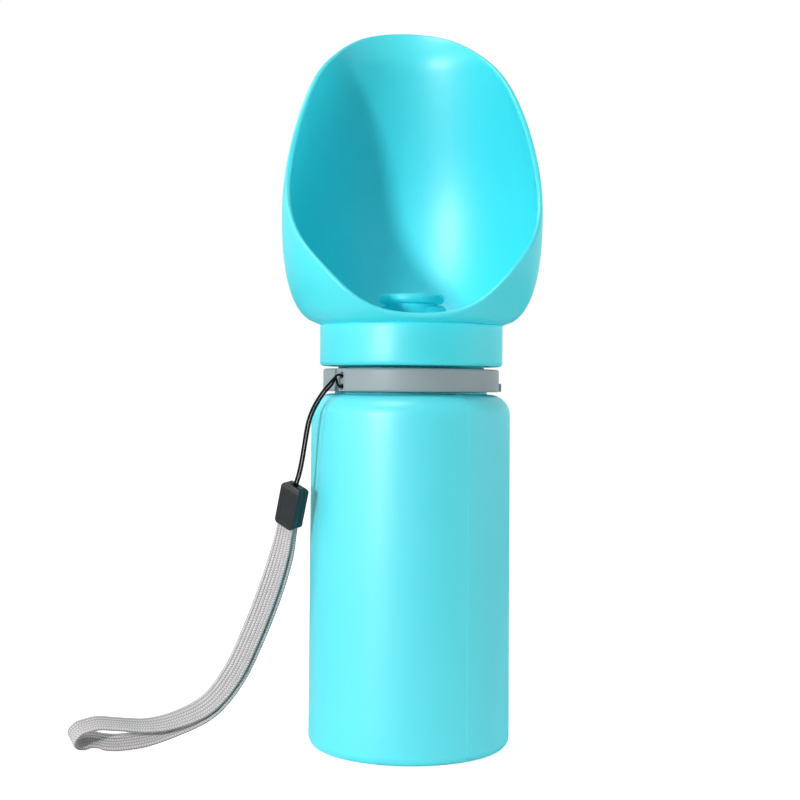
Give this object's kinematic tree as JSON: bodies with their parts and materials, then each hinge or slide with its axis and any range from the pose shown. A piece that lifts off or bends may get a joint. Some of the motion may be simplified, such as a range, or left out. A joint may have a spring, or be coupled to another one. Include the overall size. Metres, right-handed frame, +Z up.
{
  "type": "dog travel water bottle",
  "caption": "Soft squeeze bottle with a screw-on drinking scoop, a pull-up valve in the scoop's floor, and a wrist strap on a ring that turns round the neck.",
  "frame": {"origin": "centre of the bottle's foot, on the surface it stands on", "axes": "+Z up the bottle; the scoop opens towards -Y; the strap hangs on the -X side"},
  "size_m": [0.1636, 0.0816, 0.2593],
  "materials": {
    "silicone_bottle": "soft matte silicone, slightly translucent",
    "silicone_scoop": "soft matte silicone, slightly translucent",
    "hard_plastic_aqua": "moulded, satin",
    "valve_plastic": "moulded, satin",
    "ring_plastic": "moulded, satin",
    "seal_silicone": "soft, matte",
    "cord_nylon": "braided, matte",
    "clip_plastic": "moulded, fine grain",
    "strap_webbing": "flat braid, matte"
  },
  "bodies": {
    "bottle": {"bottle_body": "silicone_bottle", "neck_sleeve": "hard_plastic_aqua"},
    "lanyard": {"lanyard_ring": "ring_plastic", "lanyard_cord": "cord_nylon", "cord_knot": "cord_nylon", "clip_front": "clip_plastic", "clip_back": "clip_plastic", "wrist_strap": "strap_webbing"},
    "cap_seal": {"cap_gasket": "seal_silicone"},
    "cap": {"screw_cap": "hard_plastic_aqua", "drinking_scoop": "silicone_scoop", "valve_o_ring": "seal_silicone"},
    "valve": {"pull_valve": "valve_plastic"}
  },
  "joints": [
    {"name": "ring_turn", "type": "hinge", "parent": "bottle", "child": "lanyard", "pos_m": [0, 0, 0.1287], "axis": [0, 0, 1], "continuous": true},
    {"name": "cap_lift", "type": "slide", "parent": "bottle", "child": "cap_seal", "axis": [0, 0, 1], "range_m": [0, 0.012]},
    {"name": "cap_turn", "type": "hinge", "parent": "cap_seal", "child": "cap", "pos_m": [0, 0, 0.14], "axis": [0, 0, 1], "range_deg": [0, 1080]},
    {"name": "valve_pull", "type": "slide", "parent": "cap", "child": "valve", "axis": [0, 0, 1], "range_m": [0, 0.004]}
  ],
  "couplings": [
    {"joint": "cap_lift", "follows": "cap_turn", "m_per_rad": 0.0006366}
  ]
}
